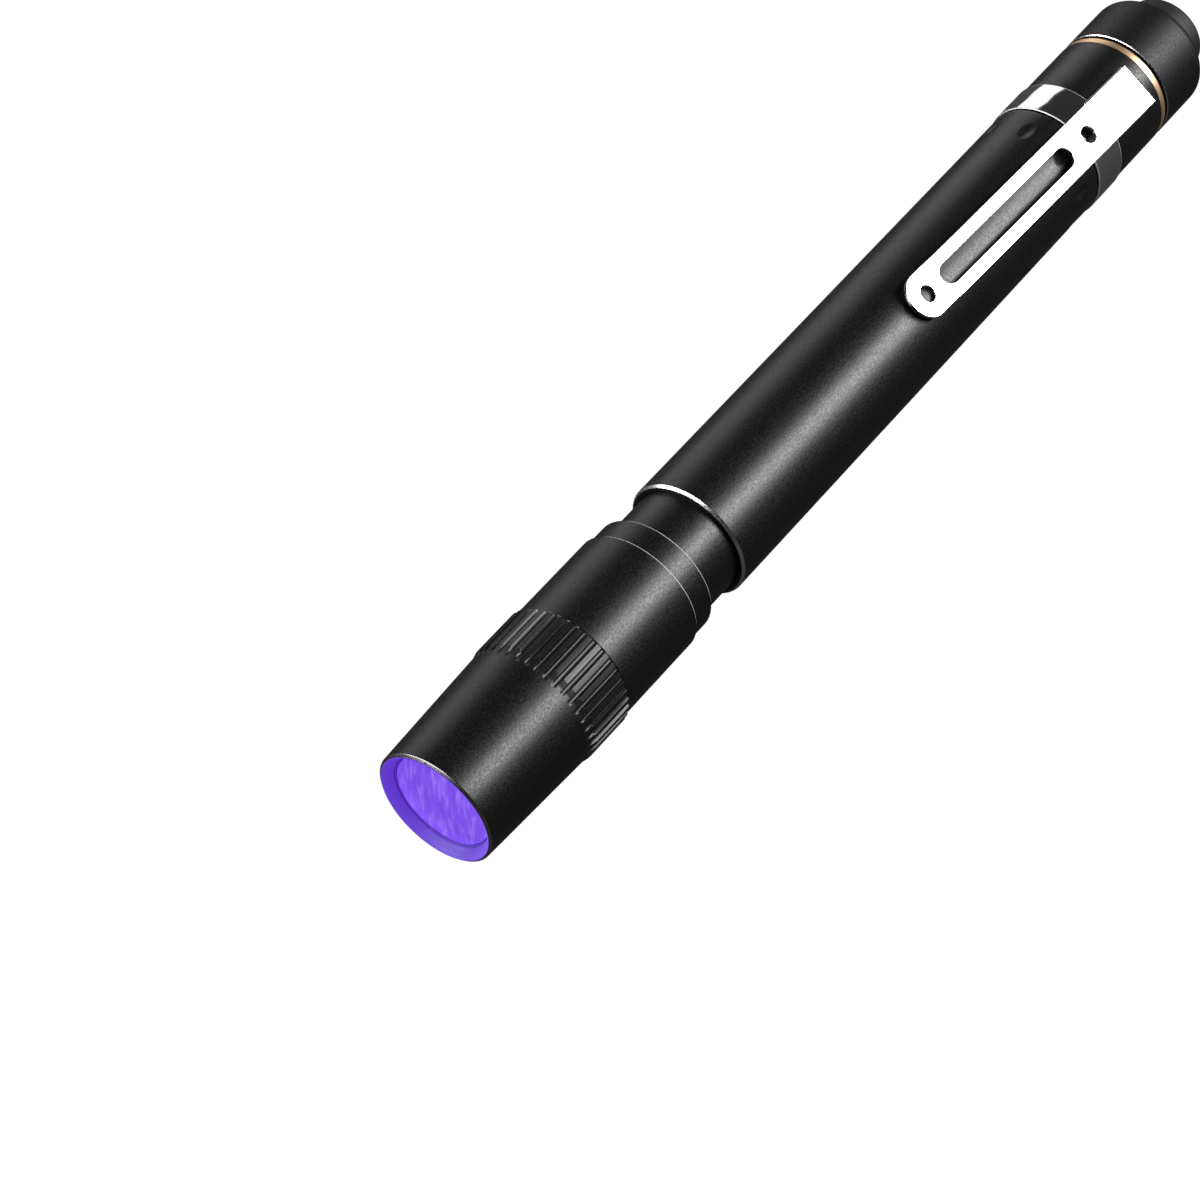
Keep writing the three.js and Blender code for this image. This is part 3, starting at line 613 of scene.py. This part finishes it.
def tube(shell, bare):
    """Main tube: bare chamfers round its front, the clip groove and nine dimples beside it."""
    front, back = span("body_tube")
    radius = outer("body_tube")
    band_front, band_back = span("clip_band")[0] - 0.2, 0
    band_back = band_front + 5.1
    neck_bore, cell_bore = radius - 0.75, radius - 1.5
    cap_bore = radius - 0.7
    dimple = band_front - 3.3
    near = [(dimple - 2.2 + 0.11 * k, radius) for k in range(41)]
    section = [
        (front + 0.10, neck_bore), (front, neck_bore + 0.10), (front, radius - 0.26),
        (front + 0.06, radius - 0.22), (front + 0.28, radius, 0.04),
        *rows(front + 0.4, dimple - 2.2, radius, 10), *near,
        (band_front, radius, 0.06), (band_front, radius - 0.4), (band_back, radius - 0.4),
        (band_back, radius, 0.06), *rows(band_back, back, radius, 4), (back, radius, 0.08),
        (back, cap_bore), (span("tail_cap")[0] - 0.5, cap_bore), (span("tail_cap")[0] - 0.5, cell_bore),
        (span("neck_tube")[1] + 0.5, cell_bore), (span("neck_tube")[1] + 0.5, neck_bore),
    ]

    def dimpled(u, r, phi):
        if abs(u - dimple) > 2.0 or r < radius - 0.05:
            return u, r, phi
        step = 2 * math.pi / 9
        off = (phi - CLIP_ROLL) / step
        off = (off - round(off)) * step * radius
        along = (u - dimple) / 1.6
        across = off / 0.9
        reach = math.hypot(along, across)
        if reach < 1:
            r -= 0.20 * (1 - reach ** 2) ** 2
        return u, r, phi

    def choose(u, r):
        outer_edge = u < front + 0.27 and r > radius - 0.25
        inner_edge = u < front + 0.11 and r < neck_bore + 0.11
        return 1 if outer_edge or inner_edge else 0

    return place(turned(section, 384, dimpled), "barrel_tube", "barrel", ["body_tube"],
                 [shell, bare], choose, crease=38)


def ring_of_brass(material):
    front, back = span("brass_ring")
    back += 0.10
    radius = outer("brass_ring")
    section = [(front, radius - 0.4), (front, radius, 0.07), (back, radius, 0.07), (back, radius - 0.4)]
    return place(turned(section, 192), "brass_trim_ring", "barrel", ["brass_ring"],
                 [material])


# ---------------------------------------------------------------- tail

def tail_seal(material):
    front, back = span("tail_oring")
    front += 0.08
    radius = outer("tail_oring")
    section = [(front, radius - 0.35), (front, radius, 0.12), (back, radius, 0.12),
               (back, radius - 0.35)]
    return place(turned(section, 160), "tail_seal_ring", "cap_seal", ["tail_oring"],
                 [material])


def cap(shell, bare):
    """Screwed tail cap: a bare line round its front edge and a large soft back edge."""
    front, back = span("tail_cap")
    radius = outer("tail_cap")
    face = span("tail_oring")[1] + 0.05
    thread, bore, hole = radius - 0.8, radius - 1.6, radius - 2.15
    arc = [(back - 1.4 + 1.4 * math.sin(a), radius - 1.4 + 1.4 * math.cos(a))
           for a in (math.pi / 2 * k / 14 for k in range(15))]
    section = [
        (front, bore), (front, thread, 0.15), (face, thread), (face, radius - 0.10),
        (face + 0.08, radius, 0.02), *rows(face + 0.15, back - 1.4, radius, 3), *arc,
        (back, hole + 0.25), (back - 0.12, hole + 0.04, 0.04), (back - 1.25, hole),
        (back - 1.25, bore),
    ]

    def choose(u, r):
        return 1 if face < u < face + 0.08 and r > radius - 0.11 else 0

    return place(turned(section, 192), "tail_cap_shell", "tail_cap", ["tail_cap"],
                 [shell, bare], choose)


def button(material):
    """Rubber push button, softly crowned, with a shallow thumb dish."""
    front, back = span("tail_button")
    flange = outer("tail_button")
    radius = flange - 0.55
    shelf = front + 1.1
    arc = [(back - 0.9 + 0.9 * math.sin(a), radius - 0.9 + 0.9 * math.cos(a))
           for a in (math.pi / 2 * k / 10 for k in range(11))]
    dish = [(back - 0.16 * (1 - (k / 8) ** 2) ** 2, (radius - 0.9) * k / 8) for k in range(7, 0, -1)]
    section = [(front, 0), (front, flange, 0.08), (shelf, flange, 0.08), (shelf, radius), *arc,
               *dish, (back - 0.16, 0)]
    return place(turned(section, 128), "tail_button_cover", "button", ["tail_button"],
                 [material])


# ---------------------------------------------------------------- pocket clip

def clip_path():
    """Centre line of the clip from the band's back edge, round the bend and out to the tip."""
    crown = max(span("clip_band")[1], span("clip_arm")[1])
    tip = span("clip_arm")[0]
    groove_back = span("clip_band")[0] - 0.2 + 5.1
    radius = outer("body_tube")
    tongue, arm = radius + 0.30, radius + 1.25
    arm_front = arm - 0.30                # the arm falls a little towards its tip
    low = radius + 0.35
    middle, bend = crown - 0.725, (arm - tongue) / 2
    ramp = [(groove_back - 0.9 + 1.1 * k / 6,
             radius - 0.05 + 0.35 * (0.5 - 0.5 * math.cos(math.pi * k / 6))) for k in range(7)]
    turn = [(middle + bend * math.sin(math.pi * k / 20), (tongue + arm) / 2
             - bend * math.cos(math.pi * k / 20)) for k in range(21)]
    dip, run = tip + 4.0, 3.4
    down = [(dip + run * (1 - k / 20), low + (arm_front - low) * (0.5 + 0.5 * math.cos(math.pi * k / 20)))
            for k in range(21)]
    up = [(dip - 4.0 * k / 12, low + 0.42 * (k / 12) ** 1.7) for k in range(1, 13)]
    return [Vector(p) for p in ramp + turn + down + up], crown


def follow(path):
    """Gives a function from length along the path to its place and outward direction there."""
    lengths = [0.0]
    for a, b in zip(path, path[1:]):
        lengths.append(lengths[-1] + (b - a).length)
    sides = []
    for i in range(len(path)):
        way = path[min(i + 1, len(path) - 1)] - path[max(i - 1, 0)]
        way.normalize()
        sides.append(Vector((way.y, -way.x)))

    def at(s):
        s = min(max(s, 0.0), lengths[-1])
        i = max(k for k in range(len(path) - 1) if lengths[k] <= s)
        t = (s - lengths[i]) / (lengths[i + 1] - lengths[i])
        return path[i].lerp(path[i + 1], t), sides[i].lerp(sides[i + 1], t).normalized()

    return at, lengths


def ring_of_points(bm, points):
    verts = [bm.verts.new((x, y, 0)) for x, y in points]
    return [bm.edges.new((v, verts[(i + 1) % len(verts)])) for i, v in enumerate(verts)]


def slot_outline(a, b, radius, steps=14):
    """A round-ended slot from a to b along the sheet."""
    right = [(b - radius + radius * math.sin(math.pi * k / steps), -radius * math.cos(math.pi * k / steps))
             for k in range(steps + 1)]
    left = [(a + radius - radius * math.sin(math.pi * k / steps), radius * math.cos(math.pi * k / steps))
            for k in range(steps + 1)]
    return right + left


def hole_outline(centre, radius, steps=28):
    return [(centre + radius * math.cos(2 * math.pi * k / steps),
             radius * math.sin(2 * math.pi * k / steps)) for k in range(steps)]


def clip_blank(total, slot_ends, holes):
    """The flat strip before bending: round tip, slot and holes, every edge eased."""
    half, sheet = 2.6, 0.5
    tip_round = [(total - half + half * math.sin(a), -half * math.cos(a))
                 for a in (math.pi * k / 32 for k in range(33))]
    bm = bmesh.new()
    edges = ring_of_points(bm, [(0.0, -half)] + tip_round + [(0.0, half)])
    edges += ring_of_points(bm, slot_outline(*slot_ends, 1.2))
    for centre, radius in holes:
        edges += ring_of_points(bm, hole_outline(centre, radius))
    bmesh.ops.triangle_fill(bm, use_beauty=True, edges=edges)
    made = bmesh.ops.extrude_face_region(bm, geom=bm.faces[:])
    bmesh.ops.translate(bm, vec=(0, 0, sheet),
                        verts=[g for g in made["geom"] if isinstance(g, bmesh.types.BMVert)])
    bmesh.ops.recalc_face_normals(bm, faces=bm.faces)
    sharp = [e for e in bm.edges if len(e.link_faces) == 2 and e.calc_face_angle(0) > math.radians(60)]
    bmesh.ops.bevel(bm, geom=sharp, offset=0.09, offset_type="OFFSET", segments=3, profile=0.5,
                    affect="EDGES", material=-1, clamp_overlap=True)
    return bm


def clip_sheet():
    """The bent strip, with the outward direction of each of its points."""
    path, crown = clip_path()
    at, lengths = follow(path)
    total, sheet = lengths[-1], 0.5
    flat = path[27].x + lengths[27]       # on the straight arm, length = flat - station
    slot_ends = (flat - crown + 14.4, flat - crown + 38.5)
    bm = clip_blank(total, slot_ends, [(flat - crown + 10.9, 1.0), (total - 2.85, 0.95)])
    for s in lengths[1:-1]:
        bmesh.ops.bisect_plane(bm, geom=bm.verts[:] + bm.edges[:] + bm.faces[:],
                               plane_co=(s, 0, 0), plane_no=(1, 0, 0), dist=1e-5)
    bm.normal_update()
    bm.verts.ensure_lookup_table()
    skew, pivot = 0.0255, crown - 20.6    # the strip sits a little askew in its groove
    normals = []
    for v in bm.verts:
        s, across, lift = v.co
        face = Vector((0, 0, 1 if lift > sheet / 2 else -1))
        flat_side = lift > sheet - 1e-4 or lift < 1e-4
        n = face if flat_side else v.normal.copy()
        point, out = at(s)
        along = Vector((-out.y, out.x))
        place_at = point + out * (lift - sheet / 2)
        aside = across + skew * (pivot - place_at.x)
        v.co = on_clip(place_at.x, aside, place_at.y)
        tip = along * n.x + out * n.z
        normals.append((on_clip(tip.x, n.y, tip.y) - on_clip(0, 0, 0)).normalized())
    return bm, normals


def band_ring(material, eased):
    """The split band that grips the tube, its edges eased and bright."""
    front = span("clip_band")[0]
    sheet, width, ease = 0.5, 4.7, 0.12
    inner = 6.65
    outside, back = inner + sheet, front + width
    section = [(front, inner, 0.06), (front, outside, 0.13), *rows(front, back, outside, 3),
               (back, outside, 0.13), (back, inner, 0.06)]
    gap = math.radians(26)

    def choose(u, r):
        return 1 if r > inner + 0.3 and (u < front + ease or u > back - ease) else 0

    bm = turned(section, steps=220, angle=2 * math.pi - gap, start=CLIP_ROLL + math.pi + gap / 2)
    return place(bm, "clip_band_ring", "barrel", ["clip_band"],
                 [material, eased], choose, crease=50)


def clip(material):
    """Spring arm with its bend and tongue in one strip."""
    bm, normals = clip_sheet()
    piece = place(bm, "pocket_clip", None, ["clip_arm"], [material], crease=80)
    piece.modifiers.clear()
    piece.data.normals_split_custom_set_from_vertices(normals)
    crown = max(span("clip_band")[1], span("clip_arm")[1])
    radius = outer("body_tube")
    start = (crown - 0.7, radius + 0.7)
    end = (start[0] - 0.009, start[1] + 0.303)
    on_clip(start[0], 0, start[1])
    on_clip(end[0], 0, end[1])
    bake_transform(piece)
    return piece


# ---------------------------------------------------------------- studio

def aim(thing, target):
    """Turns a light or camera to face a point."""
    thing.rotation_euler = (Vector(target) - thing.location).to_track_quat("-Z", "Y").to_euler()


def softbox(name, away, size, long_side, radiance, turn_to, colour=(1, 1, 1)):
    """A flat lamp facing the pen, its long side along the direction turn_to."""
    light = bpy.data.lights.new(name, "AREA")
    light.shape = "RECTANGLE"
    light.size, light.size_y = long_side, size
    light.energy = radiance * math.pi * long_side * size
    light.color = colour
    lamp = bpy.data.objects.new(name, light)
    bpy.context.collection.objects.link(lamp)
    lamp.location = Vector(away)
    back = Vector(away).normalized()
    side = Vector(turn_to)
    side = (side - back * side.dot(back)).normalized()
    up = back.cross(side)
    lamp.rotation_euler = Matrix((side, up, back)).transposed().to_euler()
    return lamp


def studio_floor():
    """Pale table: even white to the eye, quieter grey to what the pen reflects."""
    bm = bmesh.new()
    bmesh.ops.create_grid(bm, x_segments=4, y_segments=4, size=1.6)
    bmesh.ops.translate(bm, verts=bm.verts, vec=(0, 0, cad_low[2] - 0.0001))
    mesh = bpy.data.meshes.new("studio_floor")
    bm.to_mesh(mesh)
    bm.free()
    floor = bpy.data.objects.new("studio_floor", mesh)
    bpy.context.collection.objects.link(floor)
    material = bpy.data.materials.new("studio_paper")
    material.use_nodes = True
    tree = material.node_tree
    tree.nodes.clear()
    seen = add_node(tree, "ShaderNodeLightPath")
    white = add_node(tree, "ShaderNodeEmission", {"Color": (1, 1, 1, 1), "Strength": 1.02})
    grey = add_node(tree, "ShaderNodeBsdfDiffuse", {"Color": (0.055, 0.055, 0.057, 1)})
    mix = tree.nodes.new("ShaderNodeMixShader")
    out = tree.nodes.new("ShaderNodeOutputMaterial")
    join(tree,
         (seen.outputs["Is Camera Ray"], mix.inputs["Fac"]),
         (grey.outputs["BSDF"], mix.inputs[1]),
         (white.outputs["Emission"], mix.inputs[2]),
         (mix.outputs["Shader"], out.inputs["Surface"]))
    mesh.materials.append(material)
    floor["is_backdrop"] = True


def studio_world():
    """Pale surroundings to the eye, dim grey to the pen."""
    world = bpy.data.worlds.new("studio")
    world.use_nodes = True
    tree = world.node_tree
    tree.nodes.clear()
    seen = add_node(tree, "ShaderNodeLightPath")
    pale = add_node(tree, "ShaderNodeBackground", {"Color": (1, 1, 1, 1), "Strength": 1.0})
    dim = add_node(tree, "ShaderNodeBackground", {"Color": (1, 1, 1, 1), "Strength": 0.03})
    mix = tree.nodes.new("ShaderNodeMixShader")
    out = tree.nodes.new("ShaderNodeOutputWorld")
    join(tree,
         (seen.outputs["Is Camera Ray"], mix.inputs["Fac"]),
         (dim.outputs["Background"], mix.inputs[1]),
         (pale.outputs["Background"], mix.inputs[2]),
         (mix.outputs["Shader"], out.inputs["Surface"]))
    bpy.context.scene.world = world


def studio_lights():
    key = Vector((0.52, -0.580, 0.625)) * 0.55
    softbox("key_strip", key, 0.18, 0.52, 14.0, (1, 0, 0))
    fill = Vector((0.513, 0.812, 0.275)) * 0.60
    softbox("fill_panel", fill, 0.40, 0.62, 1.15, (1, 0, 0))
    front = Vector((-0.711, 0.545, 0.441)) * 0.42
    softbox("front_strip", front, 0.12, 0.48, 11.0, (0.35, 0.88, -0.29))


def studio_camera():
    """Long lens, looking down on the pen from its front left."""
    target = to_world(38.158, 8.306, -11.842)
    azimuth, elevation, distance = math.radians(-53.801), math.radians(50.497), 0.3988
    data = bpy.data.cameras.new("camera")
    data.lens = 115.33
    data.sensor_width = 36
    data.clip_start, data.clip_end = 0.01, 20
    camera = bpy.data.objects.new("camera", data)
    bpy.context.collection.objects.link(camera)
    back = Vector((math.sin(azimuth) * math.cos(elevation),
                   -math.cos(azimuth) * math.cos(elevation), math.sin(elevation)))
    camera.location = target + back * distance
    aim(camera, target)
    bpy.context.scene.camera = camera


# ---------------------------------------------------------------- putting it together

def main():
    shell = satin_black("satin_black")
    bare = bare_aluminium()
    steel = polished_steel()
    rim_black = satin_black("rim_black", roughness=0.28, scale=6000.0, strength=0.15, ior=3.0)
    # painted shadow for the mouth's two steps: near black, with a dim violet glow
    shade = coloured("mouth_shadow", dark=(0.004, 0.002, 0.012), light=(0.008, 0.004, 0.020),
                     roughness=0.6, glow=(0.036, 0.008, 0.26))
    nose_and_grip(shell, ribbed_black(), lit_mouth(), rim_black, shade)
    worn = coloured("worn_edge", dark=(0.78, 0.78, 0.79), light=(0.92, 0.92, 0.93),
                    roughness=0.62, metallic=1.0)
    sleeve(shell, worn)
    end_ring(shell, worn)
    lens_dome(lit_lens())
    neck(shell)
    tube(shell, bare)
    ring_of_brass(brass())
    tail_seal(rubber("seal_rubber", colour=0.006, scale=9000.0, roughness=0.5))
    cap(satin_black("cap_black", roughness=0.50, scale=4600.0, strength=0.6, ior=1.42), bare)
    button(rubber("button_rubber", colour=0.0035, scale=7000.0, roughness=0.68))
    eased = coloured("eased_edge", dark=(0.80, 0.80, 0.81), light=(0.92, 0.92, 0.93),
                     roughness=0.50, metallic=1.0)
    band_ring(steel, eased)
    clip(steel)
    for node, material in inner_finishes().items():
        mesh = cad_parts[node].data
        mesh.materials.clear()
        mesh.materials.append(material)
    studio_camera()
    studio_floor()
    studio_world()
    studio_lights()
    bpy.context.scene.view_settings.view_transform = "Standard"


main()
